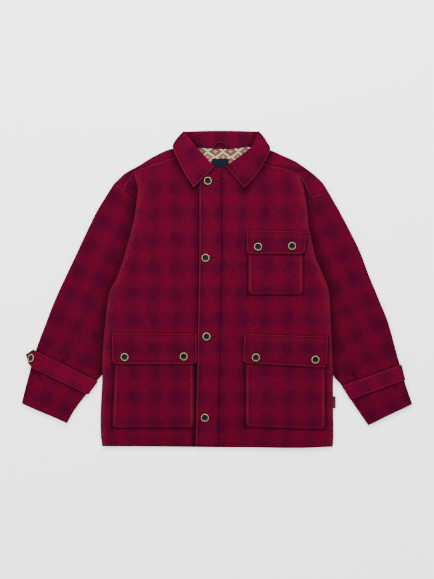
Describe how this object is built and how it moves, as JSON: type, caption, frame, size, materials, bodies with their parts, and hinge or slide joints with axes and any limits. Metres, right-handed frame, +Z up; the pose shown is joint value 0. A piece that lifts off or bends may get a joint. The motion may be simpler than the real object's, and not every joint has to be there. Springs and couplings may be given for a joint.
{
  "type": "hunting jacket",
  "caption": "Hunting jacket of checked felted wool, laid flat on its back: buttoned front, point collar, flap pockets on chest and hips, tabs at the cuffs",
  "frame": {"origin": "the middle of the underside, on the surface that the jacket lies on", "axes": "+X to the wearer's left across the spread sleeves, +Y towards the collar, +Z up, away from the surface"},
  "size_m": [0.9736, 0.7896, 0.02],
  "materials": {
    "wool_check": "felted wool in a soft crimson and dark plum check, matt with a short nap",
    "lining_cloth": "smooth woven lining, dark brown with a light stepped pattern",
    "label_cloth": "woven label, plain navy, no lettering",
    "loop_cloth": "narrow woven tape, burgundy",
    "button_black": "black dished button with a pale ring and four holes"
  },
  "bodies": {
    "root": {"back": "wool_check", "front_r": "wool_check", "front_l": "wool_check", "placket": "wool_check", "yoke_r": "wool_check", "yoke_l": "wool_check", "front_tuck_r": "wool_check", "front_tuck_l": "wool_check", "sleeve_r_top": "wool_check", "sleeve_l_top": "wool_check", "sleeve_r_under": "wool_check", "sleeve_l_under": "wool_check", "cuff_tab_r": "wool_check", "cuff_tab_l": "wool_check", "collar_back": "wool_check", "collar_stand": "wool_check", "collar_leaf_r": "wool_check", "collar_leaf_l": "wool_check", "pocket_r": "wool_check", "pocket_r_flap": "wool_check", "pocket_l": "wool_check", "pocket_l_flap": "wool_check", "chest_pocket": "wool_check", "chest_pocket_flap": "wool_check", "lining_neck": "lining_cloth", "neck_label": "label_cloth", "side_label": "label_cloth", "hanger_loop": "loop_cloth", "button_front_1": "button_black", "button_front_2": "button_black", "button_front_3": "button_black", "button_front_4": "button_black", "button_pocket_r_1": "button_black", "button_pocket_r_2": "button_black", "button_pocket_l_1": "button_black", "button_pocket_l_2": "button_black", "button_chest_pocket_1": "button_black", "button_chest_pocket_2": "button_black", "button_cuff_tab": "button_black"}
  },
  "joints": []
}
